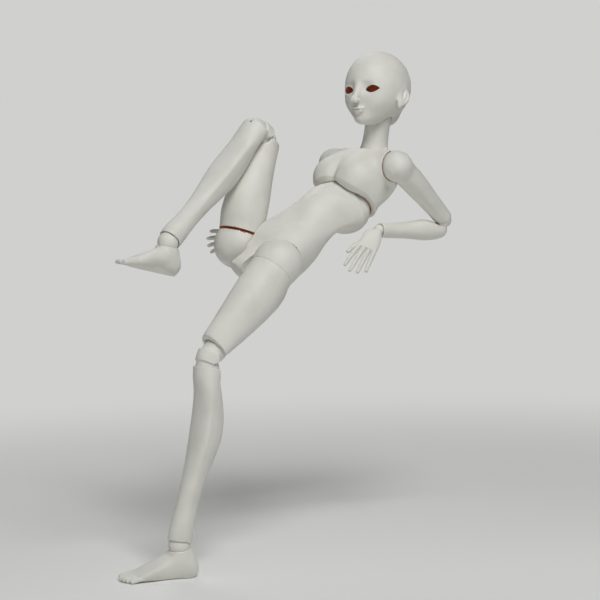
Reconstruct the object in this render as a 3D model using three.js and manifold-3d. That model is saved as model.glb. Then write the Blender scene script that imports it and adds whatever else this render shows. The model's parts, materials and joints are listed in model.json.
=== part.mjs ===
// A strung ball jointed doll of cast resin, reclining with one foot on the floor.
// Millimetres, +Z up. Every body part is drawn in its own frame: origin at the joint nearest the
// torso, Z towards that joint, X to the doll's left, Y to its back. Nested groups pose the doll.
import * as THREE from 'three';
import { mergeVertices } from 'three/addons/utils/BufferGeometryUtils.js';
import Module from 'manifold-3d';

const wasm = await Module();
wasm.setup();

// Skeleton: distances between joint centres
const waistHeight = 122;
const hipSpacing = 78;
const thighLength = 124;
const kneeLength = 22;
const shinLength = 186;
const ankleHeight = 35;
const neckHeight = 78;
const neckSetBack = 12;
const neckLength = 38;
const shoulderSpacing = 105;
const shoulderHeight = 59;
const shoulderSetBack = 6;
const upperArmLength = 103;
const elbowLength = 13;
const forearmLength = 88;

// Balls of the joints
const hipBall = 27;
const kneeBall = 14.5;
const ankleBall = 11.5;
const shoulderBall = 17.5;
const elbowBall = 9.5;
const wristBall = 6.5;
const neckBall = 14.6;
const neckFoot = 16;

// Girths: the half widths that the outlines are shares of
const torsoWidth = 45;
const chestWidth = 44;
const thighWidth = 27;
const shinWidth = 18;
const upperArmWidth = 14.5;
const forearmWidth = 12;
const neckWidth = 14.8;
const footWidth = 14;
const footLength = 80;
const handWidth = 13.5;
const handLength = 72;
const fingerWidth = 2.8;
const headWidth = 36;
const headDepth = 44;
const headHeight = 86;

// Walls, clearances and strings
const wall = 4.5;
const seam = 0.35;
const clearance = 0.65;
const overrun = 30;
const cord = 1.6;
const bore = 2.1;
const wideBore = 5.5;
const hookWire = 1.5;
const magnetWidth = 4;
const magnetHeight = 2.2;

// How finely round forms are drawn
const fine = 20;
const medium = 14;
const coarse = 8;

const degree = Math.PI / 180;

const resin = { color: 0xe4e3dc, roughness: 0.55, metalness: 0 };
const steel = { color: 0xb4b6b8, roughness: 0.3, metalness: 0.9 };
const elastic = { color: 0xe9e6dc, roughness: 0.9, metalness: 0 };

// Joins and cuts

function solid(geometry) {
  const bare = geometry.clone();
  bare.deleteAttribute('normal');
  bare.deleteAttribute('uv');
  const merged = mergeVertices(bare, seam / 1000);
  return new wasm.Manifold(new wasm.Mesh({
    numProp: 3,
    vertProperties: new Float32Array(merged.attributes.position.array),
    triVerts: new Uint32Array(merged.index.array),
  }));
}

function drawn(body) {
  const mesh = body.getMesh();
  const geometry = new THREE.BufferGeometry();
  geometry.setAttribute('position', new THREE.BufferAttribute(mesh.vertProperties, 3));
  geometry.setIndex(new THREE.BufferAttribute(mesh.triVerts, 1));
  geometry.computeVertexNormals();
  return geometry;
}

function cut(body, ...tools) {
  return tools.reduce((left, tool) => left.subtract(tool), body);
}

function join(body, ...others) {
  return others.reduce((whole, other) => whole.add(other), body);
}

// Plain forms, each a solid

function ball(radius, at = [0, 0, 0], around = fine) {
  const geometry = new THREE.SphereGeometry(radius, around, around / 2);
  geometry.rotateX(90 * degree);
  return solid(geometry.translate(...at));
}

function egg(halfWidth, halfDepth, halfHeight, at = [0, 0, 0], around = fine) {
  const geometry = new THREE.SphereGeometry(1, around, around / 2);
  geometry.rotateX(90 * degree);
  geometry.scale(halfWidth, halfDepth, halfHeight);
  return solid(geometry.translate(...at));
}

function rod(radius, from, to, around = coarse) {
  const start = new THREE.Vector3(...from);
  const end = new THREE.Vector3(...to);
  const geometry = new THREE.CylinderGeometry(radius, radius, start.distanceTo(end), around);
  const turn = new THREE.Quaternion().setFromUnitVectors(
    new THREE.Vector3(0, 1, 0),
    end.clone().sub(start).normalize(),
  );
  geometry.applyQuaternion(turn);
  const middle = start.add(end).multiplyScalar(0.5);
  return solid(geometry.translate(middle.x, middle.y, middle.z));
}

function slab(width, depth, height, at = [0, 0, 0]) {
  return solid(new THREE.BoxGeometry(width, depth, height).translate(...at));
}

// A limb is drawn from rows of shares: how far down its length, then its front, back and side as
// shares of its half width, how far it sways outwards, and how much the row leans with its depth.
function limb(shares, top, length, width, around = medium, side = 1) {
  const depths = new THREE.CatmullRomCurve3(shares.map((row) => new THREE.Vector3(row[0], row[1], row[2])));
  const sides = new THREE.CatmullRomCurve3(
    shares.map((row) => new THREE.Vector3(row[3], row[4] ?? 0, row[5] ?? 0)),
  );
  const geometry = new THREE.CylinderGeometry(1, 1, 1, around, shares.length - 1);
  geometry.rotateX(90 * degree);
  const place = geometry.attributes.position;
  for (let i = 0; i < place.count; i += 1) {
    const down = 0.5 - place.getZ(i);
    const { x: along, y: front, z: back } = depths.getPoint(down);
    const { x: half, y: sway, z: lean } = sides.getPoint(down);
    const x = (place.getX(i) * half + side * sway) * width;
    const y = place.getY(i) * (place.getY(i) < 0 ? front : back) * width;
    place.setXYZ(i, x, y, top - along * length - lean * y);
  }
  return solid(geometry);
}

// Outlines, as shares

const lowerTorsoShares = [
  [0.000, 0.73, 0.44, 0.73, 0, 0.10],
  [0.080, 0.82, 0.33, 0.75],
  [0.156, 0.84, 0.28, 0.73],
  [0.247, 0.78, 0.40, 0.70],
  [0.325, 0.69, 0.58, 0.72],
  [0.420, 0.59, 0.82, 0.79],
  [0.520, 0.54, 0.95, 0.87],
  [0.610, 0.50, 1.00, 0.94],
  [0.690, 0.42, 0.99, 0.98],
  [0.760, 0.30, 0.94, 0.98],
  [0.840, 0.25, 0.82, 0.92],
  [0.910, 0.22, 0.64, 0.76],
  [0.965, 0.17, 0.40, 0.46],
  [1.000, 0.10, 0.18, 0.20],
];

const chestShares = [
  [0.00, 0.32, 0.34, 0.36],
  [0.04, 0.33, 0.40, 0.46],
  [0.13, 0.38, 0.50, 0.78],
  [0.28, 0.52, 0.66, 1.02],
  [0.50, 0.68, 0.77, 1.03],
  [0.75, 0.76, 0.75, 0.98, 0, 0.16],
  [1.00, 0.77, 0.74, 0.90, 0, 0.34],
];

const thighShares = [
  [0.00, 0.88, 0.90, 0.89],
  [0.05, 0.92, 0.95, 0.92, 0.02],
  [0.16, 0.95, 1.05, 0.94, 0.06],
  [0.40, 0.94, 0.96, 0.89, 0.10],
  [0.60, 0.91, 0.78, 0.80, 0.13],
  [0.80, 0.84, 0.60, 0.70, 0.10],
  [0.93, 0.80, 0.47, 0.64, 0.06, 0.08],
  [1.00, 0.76, 0.43, 0.62, 0.04, 0.16],
];

const shinShares = [
  [0.00, 0.68, 0.74, 0.84, 0.03],
  [0.06, 0.69, 0.74, 0.90, 0.07],
  [0.14, 0.50, 1.04, 0.93, 0.16],
  [0.27, 0.36, 1.40, 0.95, 0.26],
  [0.38, 0.32, 1.47, 0.94, 0.27],
  [0.53, 0.34, 1.22, 0.80, 0.18],
  [0.66, 0.41, 0.94, 0.69, 0.08],
  [0.83, 0.57, 0.72, 0.64],
  [0.96, 0.74, 0.71, 0.71],
  [1.00, 0.74, 0.70, 0.70],
];

const upperArmShares = [
  [0.00, 0.84, 1.04, 0.92],
  [0.14, 0.84, 1.12, 0.98],
  [0.38, 0.78, 1.12, 0.94],
  [0.62, 0.68, 0.98, 0.82],
  [0.86, 0.62, 0.86, 0.76],
  [0.94, 0.60, 0.82, 0.76],
  [1.00, 0.42, 0.78, 0.74],
];

const forearmShares = [
  [0.00, 0.50, 0.84, 0.90],
  [0.08, 0.74, 0.94, 1.00],
  [0.24, 1.00, 1.00, 1.02],
  [0.52, 0.80, 0.84, 0.86],
  [0.80, 0.68, 0.76, 0.76],
  [1.00, 0.66, 0.74, 0.74],
];

const neckShares = [
  [0.00, 0.88, 0.88, 0.88],
  [0.16, 0.94, 0.94, 0.94],
  [0.55, 0.97, 0.97, 0.97],
  [0.85, 1.02, 1.02, 1.03],
  [1.00, 1.05, 1.05, 1.06],
];

const footShares = [
  [0.00, 0.30, 0.70, 0.34],
  [0.04, 0.90, 0.96, 0.62],
  [0.14, 1.44, 1.14, 0.82],
  [0.30, 1.46, 1.14, 0.86],
  [0.48, 1.00, 1.14, 0.92],
  [0.70, 0.52, 1.12, 1.06],
  [0.86, 0.14, 1.10, 1.06],
  [0.94, -0.20, 1.06, 0.86],
];

const palmShares = [
  [0.00, 0.42, 0.42, 0.36],
  [0.12, 0.48, 0.48, 0.42],
  [0.45, 0.80, 0.74, 0.42],
  [0.85, 0.88, 0.84, 0.34],
  [1.00, 0.84, 0.82, 0.26],
];

// Head: a hollow skull with open eyes, and the cap that closes its back

const craniumHeight = headHeight * 0.46;
const craniumDepth = headDepth * 0.95;
const eyeApart = headWidth * 0.43;
const eyeHeight = headHeight * 0.365;
const eyeHalfWidth = 6.4;
const eyeHalfHeight = 3.7;
const noseLength = 11;
const noseWidth = 4.4;
const earHeight = 11;
const earDepth = 7.5;
const earProud = 4.5;
const capTilt = 4 * degree;
const capStart = 16;
const magnetRise = headHeight * 0.80;
const bossWidth = magnetWidth * 1.6;
const floorHeight = neckBall + wall;

function capTool() {
  const reach = headHeight * 2;
  const block = new THREE.BoxGeometry(reach, reach, reach);
  block.translate(0, reach / 2, 0);
  block.rotateX(capTilt);
  return solid(block.translate(0, capStart, craniumHeight));
}

function skullForms(inset) {
  const cranium = egg(
    headWidth - inset,
    craniumDepth - inset,
    craniumHeight - inset,
    [0, headDepth * 0.03, headHeight * 0.44],
    inset ? medium : fine,
  );
  const face = egg(
    headWidth * 0.80 - inset,
    headDepth * 0.64 - inset,
    headHeight * (inset ? 0.32 : 0.41) - inset,
    [0, -headDepth * 0.34, headHeight * (inset ? 0.38 : 0.32)],
    inset ? coarse : fine,
  );
  return [cranium, face];
}

function skull() {
  const jaw = egg(
    headWidth * 0.52,
    headDepth * 0.42,
    headHeight * 0.17,
    [0, -headDepth * 0.44, headHeight * 0.10],
    medium,
  );
  const nose = new THREE.ConeGeometry(noseWidth, noseLength, coarse);
  nose.scale(1, 1, 1.4);
  nose.rotateX(80 * degree);
  const noseSolid = solid(nose.translate(0, -headDepth * 0.97, headHeight * 0.27));
  const ears = [1, -1].map((side) => egg(
    earProud,
    earDepth,
    earHeight,
    [side * headWidth * 0.93, -headDepth * 0.08, headHeight * 0.24],
    coarse,
  ));
  const [cranium, face] = skullForms(0);
  return join(cranium, face, jaw, noseSolid, ...ears);
}

// The spot on the cap's seam where the magnets meet, and one a little to either side of it
function magnetSpot(offset) {
  return [0, capStart - (magnetRise - craniumHeight) * Math.tan(capTilt) + offset, magnetRise];
}

function headParts() {
  const whole = skull();
  const base = slab(headHeight, headHeight, overrun, [0, 0, floorHeight - overrun / 2]);
  const boss = rod(bossWidth, magnetSpot(-magnetHeight * 2), magnetSpot(magnetHeight * 2), medium);
  const room = cut(join(...skullForms(wall)), base, boss);
  const hollow = cut(whole, room);
  const eyes = [1, -1].map((side) => egg(
    eyeHalfWidth,
    headDepth * 0.6,
    eyeHalfHeight,
    [side * eyeApart, -headDepth * 0.9, eyeHeight],
    coarse,
  ));
  const neckSeat = ball(neckBall + clearance, [0, 0, 0], fine);
  const neckWay = rod(neckBall + clearance, [0, 0, -overrun], [0, 0, 0], fine);
  const stringWay = rod(wideBore, [0, 0, 0], [0, 0, headHeight / 2]);
  const pocket = rod(
    magnetWidth + seam,
    magnetSpot(-magnetHeight - seam),
    magnetSpot(magnetHeight + seam),
    medium,
  );
  const back = capTool();
  const shell = cut(hollow, neckSeat, neckWay, stringWay, back, pocket, ...eyes);
  const cap = cut(hollow.intersect(back.translate([0, seam, 0])), pocket);
  return { shell, cap };
}

// Torso

const domeWidth = torsoWidth * 0.76;
const domeDepth = torsoWidth * 0.63;
const crotchDepth = 32;
const bustApart = 21;
const bustForward = 23;
const bustHeight = 30;
const bustWidth = 18.5;
const bustProud = 18.5;
const bustTall = 18;
const seamHeight = 14;
const shoulderRim = 18.5;
const socketFace = 5;
const collarWidth = 20;

// How the thighs and the upper arms hang in this pose: the hips and the chest have room for both
const raisedThigh = [-134.3, 15, -11.7];
const sittingThigh = [-110, 15, -11.7];
const lyingThigh = [20.4, -12.4, -9];
const proppedArm = [79.7, 2.5, -13.3];
const reachingArm = [34.9, 27, -2.9];
const chestBend = [38.3, -12.3, -0.9];
const room = 0.9;

function placed(body, place, turn) {
  const group = new THREE.Object3D();
  group.position.set(...place);
  group.rotation.set(turn[0] * degree, turn[1] * degree, turn[2] * degree);
  group.updateMatrix();
  return body.transform(group.matrix.toArray());
}

function mirrored(turn) {
  return [turn[0], -turn[1], -turn[2]];
}

function thighRoom(side, turn) {
  const top = -thighCut + seam;
  const way = limb(thighShares.slice(0, 5), top, thighLength - thighCut, thighWidth + room * 1.4, fine, side);
  return placed(way, [side * hipSpacing / 2, 0, 0], turn);
}

function armRoom(side, turn) {
  const way = limb(upperArmShares.slice(0, 4), 0, upperArmLength, upperArmWidth + room, medium);
  return placed(way, [side * shoulderSpacing / 2, shoulderSetBack, shoulderHeight], turn);
}

// The belly as the bent chest meets it
function bellyRoom(turn) {
  const belly = limb(lowerTorsoShares, waistHeight, waistHeight + crotchDepth, torsoWidth + room, fine);
  const bend = new THREE.Object3D();
  bend.position.set(0, 0, waistHeight);
  bend.rotation.set(...turn.map((angle) => angle * degree));
  bend.updateMatrix();
  return belly.transform(bend.matrix.invert().toArray());
}

function lowerTorso() {
  const body = limb(lowerTorsoShares, waistHeight, waistHeight + crotchDepth, torsoWidth, fine);
  const dome = egg(domeWidth, domeDepth, domeDepth, [0, 0, waistHeight], fine);
  const hollow = limb(
    lowerTorsoShares.slice(1, 7),
    waistHeight,
    waistHeight + crotchDepth,
    torsoWidth - wall * 1.5,
    coarse,
  );
  const rooms = [1, -1].flatMap((side) => {
    const hip = [side * hipSpacing / 2, 0, 0];
    return [
      ball(hipBall + room, hip, fine),
      rod(thighWidth * 0.95 + room * 1.4, hip, [hip[0], 0, -crotchDepth * 2], fine),
      rod(bore * 1.5, [0, 0, 0], hip),
      thighRoom(side, side < 0 ? raisedThigh : mirrored(raisedThigh)),
      thighRoom(side, side < 0 ? sittingThigh : mirrored(sittingThigh)),
      thighRoom(side, side > 0 ? lyingThigh : mirrored(lyingThigh)),
    ];
  });
  const stringWay = rod(bore, [0, 0, 0], [0, 0, waistHeight + domeDepth * 2]);
  return cut(join(body, dome), hollow, ...rooms, stringWay);
}

function chest() {
  const body = limb(chestShares, neckHeight, neckHeight - seamHeight, chestWidth, fine);
  const bust = [1, -1].map((side) => egg(
    bustWidth,
    bustProud,
    bustTall,
    [side * bustApart, -bustForward, bustHeight],
    medium,
  ));
  const shoulders = [1, -1].map((side) => ball(
    shoulderRim,
    [side * (shoulderSpacing / 2 - shoulderRim / 2), shoulderSetBack, shoulderHeight],
    medium,
  ));
  const outside = [1, -1].map((side) => slab(
    overrun,
    shoulderSpacing,
    shoulderSpacing,
    [side * (shoulderSpacing / 2 - socketFace + overrun / 2), 0, shoulderHeight],
  ));
  const collar = rod(collarWidth, [0, neckSetBack, neckHeight * 0.8], [0, neckSetBack, neckHeight], fine);
  const sockets = [1, -1].map((side) => ball(
    shoulderBall + clearance,
    [side * shoulderSpacing / 2, shoulderSetBack, shoulderHeight],
    fine,
  ));
  const arms = [1, -1].flatMap((side) => [
    armRoom(side, side > 0 ? proppedArm : mirrored(proppedArm)),
    armRoom(side, side < 0 ? reachingArm : mirrored(reachingArm)),
  ]);
  const armWay = rod(
    bore,
    [-shoulderSpacing / 2, shoulderSetBack, shoulderHeight],
    [shoulderSpacing / 2, shoulderSetBack, shoulderHeight],
  );
  const lean = new THREE.Matrix4().makeRotationFromEuler(
    new THREE.Euler(0, chestBend[1] * degree, chestBend[2] * degree),
  );
  const domeRoom = egg(domeWidth + room, domeDepth + room, domeDepth + room, [0, 0, 0], fine)
    .transform(lean.invert().toArray());
  const neckSeat = ball(neckFoot + room, [0, neckSetBack, neckHeight], fine);
  const stringWay = rod(bore, [0, 0, 0], [0, neckSetBack, neckHeight]);
  const trim = slab(
    shoulderSpacing * 2,
    shoulderSpacing,
    overrun,
    [0, 0, neckHeight + seam + overrun / 2],
  );
  return cut(
    join(body, ...bust, ...shoulders, collar),
    ...outside,
    ...sockets,
    ...arms,
    armWay,
    bellyRoom(chestBend),
    bellyRoom(mirrored(chestBend)),
    domeRoom,
    neckSeat,
    stringWay,
    trim,
  );
}

// Neck: its foot turns in the chest, its upper ball sits under the skull

function neck() {
  const column = limb(neckShares, neckLength, neckLength, neckWidth, fine);
  const upper = ball(neckBall, [0, 0, neckLength], fine);
  const lower = ball(neckFoot, [0, 0, 0], fine);
  const way = rod(bore, [0, 0, -neckFoot - overrun], [0, 0, neckLength + neckBall + overrun]);
  return cut(join(column, upper, lower), way);
}

// Leg

const thighCut = 12;
const slotWidth = 4.6;
const fold = 76 * degree;

// Where one half of a double joint lies against the other at its fullest bend
function foldRoom(radius, length, side) {
  const back = length * Math.sin(fold);
  const up = side * length * Math.cos(fold);
  return rod(radius + clearance, [-radius * 2, back, up], [radius * 2, back, up], medium);
}

function thighBall() {
  const whole = ball(hipBall, [0, 0, 0], fine);
  const below = slab(hipBall * 3, hipBall * 3, overrun, [0, 0, -thighCut - overrun / 2]);
  const way = rod(bore, [0, 0, -hipBall], [0, 0, 0]);
  const slot = slab(slotWidth, hipBall, hipBall * 2, [0, -hipBall / 2 + bore, hipBall * 0.9]);
  const side = slab(slotWidth, hipBall, hipBall * 0.9, [0, -hipBall * 0.7, hipBall * 0.1]);
  return cut(whole, below, way, slot, side);
}

function thigh(side) {
  const top = -thighCut - seam;
  const length = thighLength - thighCut;
  const body = limb(thighShares, top, length, thighWidth, fine, side);
  const inside = limb(thighShares.slice(0, 6), top + overrun / 4, length, thighWidth - wall, medium, side);
  const seat = ball(kneeBall + clearance, [0, 0, -thighLength], fine);
  const way = rod(bore, [0, 0, top], [0, 0, -thighLength]);
  return cut(body, inside, seat, way, foldRoom(kneeBall, kneeLength, -1).translate([0, 0, -thighLength]));
}

function knee() {
  const upper = ball(kneeBall, [0, 0, 0], fine);
  const lower = ball(kneeBall, [0, 0, -kneeLength], fine);
  const cap = egg(
    kneeBall * 0.78,
    kneeBall * 0.72,
    kneeLength * 0.62,
    [0, -kneeBall * 0.42, -kneeLength / 2],
    medium,
  );
  const way = slab(bore * 2, kneeBall * 3, kneeLength * 4, [0, kneeBall * 1.5 - bore, -kneeLength / 2]);
  return cut(join(upper, lower, cap), way);
}

function shin(side) {
  const top = kneeBall * 0.1;
  const body = limb(shinShares, top, shinLength + top - ankleBall * 0.3, shinWidth, fine, side);
  const seat = ball(kneeBall + clearance, [0, 0, 0], fine);
  const ankleSeat = ball(ankleBall + clearance, [0, 0, -shinLength], medium);
  const way = rod(bore, [0, 0, 0], [0, 0, -shinLength]);
  return cut(body, seat, ankleSeat, way, foldRoom(kneeBall, kneeLength, 1));
}

function ankle() {
  const whole = ball(ankleBall, [0, 0, 0], medium);
  return cut(whole, rod(bore, [0, 0, -ankleBall * 2], [0, 0, ankleBall * 2]));
}

const toeShares = [1.35, 1.08, 1.02, 0.96, 0.88];
const toeReachShares = [1, 1.01, 0.985, 0.95, 0.90];
const toeWidth = 3;

function foot(side) {
  const heel = footLength * 0.21;
  const instep = limb(footShares, 0, footLength * 0.92, footWidth, medium)
    .rotate([-90, 0, 0])
    .translate([0, heel, footWidth - ankleHeight]);
  const toes = toeShares.map((share, i) => {
    const across = (0.5 - i / (toeShares.length - 1)) * footWidth * 1.6;
    const radius = toeWidth * share;
    const reach = footLength * toeReachShares[i] - heel;
    return egg(
      radius * 1.05,
      radius * 2.4,
      radius * 1.15,
      [-side * across, -reach + radius * 2.4, radius - ankleHeight],
      coarse,
    );
  });
  const floor = slab(footLength * 3, footLength * 3, overrun, [0, 0, -ankleHeight - overrun / 2]);
  const seat = ball(ankleBall + clearance, [0, 0, 0], medium);
  const hookRoom = rod(bore, [0, 0, 0], [0, 0, -ankleHeight * 0.7]);
  return cut(join(instep, ...toes), floor, seat, hookRoom);
}

// Arm

const elbowFold = 74 * degree;

function elbowRoom(side) {
  const front = -elbowLength * Math.sin(elbowFold);
  const up = side * elbowLength * Math.cos(elbowFold);
  const half = elbowBall * 2;
  return rod(elbowBall + clearance, [-half, front, up], [half, front, up], medium);
}

function upperArm(side) {
  const shoulder = ball(shoulderBall, [0, 0, 0], fine);
  const arm = limb(upperArmShares, 0, upperArmLength, upperArmWidth, medium);
  const seat = ball(elbowBall + clearance, [0, 0, -upperArmLength], medium);
  const way = rod(bore, [0, 0, 0], [0, 0, -upperArmLength]);
  const across = rod(bore, [0, 0, 0], [-side * shoulderBall * 2, 0, 0]);
  return cut(
    join(shoulder, arm),
    seat,
    way,
    across,
    elbowRoom(-1).translate([0, 0, -upperArmLength]),
  );
}

function elbow() {
  const upper = ball(elbowBall, [0, 0, 0], medium);
  const lower = ball(elbowBall, [0, 0, -elbowLength], medium);
  const way = slab(bore * 2, elbowBall * 3, elbowLength * 4, [0, -elbowBall * 1.5 + bore, -elbowLength / 2]);
  return cut(join(upper, lower), way);
}

function forearm() {
  const top = -elbowBall * 0.1;
  const body = limb(forearmShares, top, forearmLength + top - wristBall * 0.2, forearmWidth, medium);
  const seat = ball(elbowBall + clearance, [0, 0, 0], medium);
  const wristSeat = ball(wristBall + clearance, [0, 0, -forearmLength], medium);
  const way = rod(bore, [0, 0, 0], [0, 0, -forearmLength]);
  return cut(body, seat, wristSeat, way, elbowRoom(1));
}

function wrist() {
  const whole = ball(wristBall, [0, 0, 0], medium);
  return cut(whole, rod(bore, [0, 0, -wristBall * 2], [0, 0, wristBall * 2]));
}

// A hand: palm, four fingers and a thumb. The thumb is to the front, the back of the hand outwards.
const palmLength = handLength * 0.47;
const fingerShares = [0.49, 0.55, 0.52, 0.43];
const boneShares = [0.46, 0.30, 0.24];
const thumbShare = 0.46;
const thumbSpread = -22 * degree;
const fingerFan = 12 * degree;
const fingerTaper = 0.12;

function finger(root, length, curl, spread, thickness, side) {
  const way = new THREE.Vector3(0, 0, -1).applyAxisAngle(new THREE.Vector3(1, 0, 0), spread);
  const joints = [new THREE.Vector3(...root)];
  boneShares.forEach((share, i) => {
    way.applyAxisAngle(new THREE.Vector3(0, 1, 0), side * curl * (i ? 1 : 0.6));
    joints.push(joints[i].clone().addScaledVector(way, length * share));
  });
  const section = new THREE.Shape();
  section.absarc(0, 0, thickness, 0, 2 * Math.PI, false);
  const tube = new THREE.ExtrudeGeometry(section, {
    steps: 6,
    curveSegments: coarse / 2,
    bevelEnabled: false,
    extrudePath: new THREE.CatmullRomCurve3(joints),
  });
  const place = tube.attributes.position;
  const start = joints[0];
  for (let i = 0; i < place.count; i += 1) {
    const point = new THREE.Vector3().fromBufferAttribute(place, i);
    const nearest = joints.reduce((best, joint) => (
      joint.distanceTo(point) < best.distanceTo(point) ? joint : best
    ), start);
    const along = nearest.distanceTo(start) / length;
    point.lerp(nearest, along * fingerTaper);
    place.setXYZ(i, point.x, point.y, point.z);
  }
  return [solid(tube), ball(thickness * 0.86, joints[joints.length - 1].toArray(), coarse)];
}

function hand(side, curl) {
  const top = -wristBall * 0.4;
  const palm = limb(palmShares, top, palmLength, handWidth, medium);
  const fingers = fingerShares.flatMap((share, i) => {
    const spot = i / (fingerShares.length - 1) - 0.5;
    const root = [0, spot * handWidth * 1.32, top - palmLength * 0.9];
    return finger(root, handLength * share, curl, spot * fingerFan, fingerWidth, side);
  });
  const thumbRoot = [-side * fingerWidth, -handWidth * 0.5, top - palmLength * 0.35];
  const thumb = finger(thumbRoot, handLength * thumbShare, curl / 2, thumbSpread, fingerWidth * 1.15, side);
  const seat = ball(wristBall + clearance, [0, 0, 0], medium);
  const hookRoom = rod(bore, [0, 0, 0], [0, 0, -palmLength / 2]);
  return cut(join(palm, ...fingers, ...thumb), seat, hookRoom);
}

// Strings, hooks and magnets inside

// A straight length of the elastic inside a bore along Z, short of both ends
function string(top, bottom) {
  return rod(cord, [0, 0, top - seam], [0, 0, bottom + seam], coarse);
}

function torsoString() {
  return string(waistHeight + domeDepth, 0);
}

function chestString() {
  const top = new THREE.Vector3(0, neckSetBack, neckHeight);
  const way = top.clone().normalize();
  const start = way.clone().multiplyScalar(domeDepth + room);
  const end = top.addScaledVector(way, shoulderHeight - neckHeight - cord * 3);
  return rod(cord, start.toArray(), end.toArray(), coarse);
}

function shoulderString() {
  const half = shoulderSpacing / 2 - shoulderBall - room;
  return rod(
    cord,
    [-half, shoulderSetBack, shoulderHeight],
    [half, shoulderSetBack, shoulderHeight],
    coarse,
  );
}

// A plain hook pin, as it stands in its hole
function hookPin(from, to) {
  return rod(hookWire, from, to, coarse);
}

// The S hook that lies across the hole in the floor of the head
function neckHook() {
  const reach = wideBore * 1.5;
  const rise = wideBore * 0.8;
  const wire = new THREE.CatmullRomCurve3([
    [-reach, 0, 0],
    [-reach * 0.9, 0, rise * 0.7],
    [-reach * 0.4, 0, rise],
    [0, 0, 0],
    [reach * 0.3, 0, -rise * 0.5],
  ].map((point) => new THREE.Vector3(...point)));
  const section = new THREE.Shape();
  section.absarc(0, 0, hookWire, 0, 2 * Math.PI, false);
  return solid(new THREE.ExtrudeGeometry(section, {
    steps: fine,
    curveSegments: 3,
    bevelEnabled: false,
    extrudePath: wire,
  }));
}

function magnet(side) {
  return rod(magnetWidth, magnetSpot(side * seam), magnetSpot(side * magnetHeight), medium);
}

// Building the doll

function piece(name, body, material) {
  const mesh = new THREE.Mesh(drawn(body), new THREE.MeshStandardMaterial(material));
  mesh.name = name;
  return mesh;
}

function frame(parent, place, turn) {
  const group = new THREE.Group();
  group.position.set(...place);
  group.rotation.set(turn[0] * degree, turn[1] * degree, turn[2] * degree);
  parent.add(group);
  return group;
}

// The pose, in degrees about X, Y and Z
const torsoPose = [-50.4, 53.1, -18.2];
const neckPose = [24.2, 6.3, 1.4];
const headPose = [1.8, -10.7, 12.7];
const limbPoses = {
  left: {
    hip: lyingThigh,
    knee: 15.7,
    foot: [13.7, 0.9, -21.7],
    shoulder: proppedArm,
    elbow: 71.4,
    hand: [32.6, -28.1, -59.2],
    curl: 10,
  },
  right: {
    hip: raisedThigh,
    knee: 75.2,
    foot: [37.4, 3.2, -8],
    shoulder: reachingArm,
    elbow: 52.4,
    hand: [12, 9.3, -20.4],
    curl: 15,
  },
};
const standingFoot = -73;

function buildLeg(torso, name, side, own) {
  const hip = frame(torso, [side * hipSpacing / 2, 0, 0], own.hip);
  hip.add(piece(`${name}_thigh_ball`, thighBall(), resin));
  hip.add(piece(`${name}_thigh`, thigh(side), resin));
  hip.add(piece(`${name}_thigh_elastic`, string(-thighCut - seam, kneeBall - thighLength), elastic));

  const kneeFrame = frame(hip, [0, 0, -thighLength], [own.knee, 0, 0]);
  kneeFrame.add(piece(`${name}_knee`, knee(), resin));

  const shinFrame = frame(kneeFrame, [0, 0, -kneeLength], [own.knee, 0, 0]);
  shinFrame.add(piece(`${name}_shin`, shin(side), resin));
  shinFrame.add(piece(`${name}_shin_elastic`, string(-kneeBall - room, ankleBall + room - shinLength), elastic));

  const footFrame = frame(shinFrame, [0, 0, -shinLength], own.foot);
  footFrame.add(piece(`${name}_ankle`, ankle(), resin));
  footFrame.add(piece(`${name}_foot`, foot(side), resin));
  const footPin = hookPin([0, 0, -ankleBall - room], [0, 0, seam - ankleHeight * 0.7]);
  footFrame.add(piece(`${name}_foot_hook`, footPin, steel));
  return footFrame;
}

function buildArm(chestFrame, name, side, own) {
  const place = [side * shoulderSpacing / 2, shoulderSetBack, shoulderHeight];
  const shoulder = frame(chestFrame, place, own.shoulder);
  shoulder.add(piece(`${name}_upper_arm`, upperArm(side), resin));
  shoulder.add(piece(`${name}_upper_arm_elastic`, string(0, elbowBall + room - upperArmLength), elastic));

  const elbowFrame = frame(shoulder, [0, 0, -upperArmLength], [-own.elbow, 0, 0]);
  elbowFrame.add(piece(`${name}_elbow`, elbow(), resin));

  const forearmFrame = frame(elbowFrame, [0, 0, -elbowLength], [-own.elbow, 0, 0]);
  forearmFrame.add(piece(`${name}_forearm`, forearm(), resin));
  const forearmString = string(-elbowBall - room, wristBall + room - forearmLength);
  forearmFrame.add(piece(`${name}_forearm_elastic`, forearmString, elastic));

  const handFrame = frame(forearmFrame, [0, 0, -forearmLength], own.hand);
  handFrame.add(piece(`${name}_wrist`, wrist(), resin));
  handFrame.add(piece(`${name}_hand`, hand(side, own.curl * degree), resin));
  const handPin = hookPin([0, 0, -wristBall - room], [0, 0, seam - palmLength / 2]);
  handFrame.add(piece(`${name}_wrist_hook`, handPin, steel));
}

// Turns the standing foot level, whatever the leg above it does.
function level(footFrame) {
  footFrame.parent.updateWorldMatrix(true, false);
  const leg = footFrame.parent.getWorldQuaternion(new THREE.Quaternion());
  const standing = new THREE.Quaternion().setFromAxisAngle(
    new THREE.Vector3(0, 0, 1),
    standingFoot * degree,
  );
  footFrame.quaternion.copy(leg.invert().multiply(standing));
}

const doll = new THREE.Group();
const torso = frame(doll, [0, 0, 0], torsoPose);
torso.add(piece('lower_torso', lowerTorso(), resin));
torso.add(piece('torso_elastic', torsoString(), elastic));

const chestFrame = frame(torso, [0, 0, waistHeight], chestBend);
chestFrame.add(piece('chest', chest(), resin));
chestFrame.add(piece('chest_elastic', chestString(), elastic));
chestFrame.add(piece('shoulder_elastic', shoulderString(), elastic));

const neckFrame = frame(chestFrame, [0, neckSetBack, neckHeight], neckPose);
neckFrame.add(piece('neck', neck(), resin));
neckFrame.add(piece('neck_elastic', string(neckLength + neckBall, -neckFoot), elastic));

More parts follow.
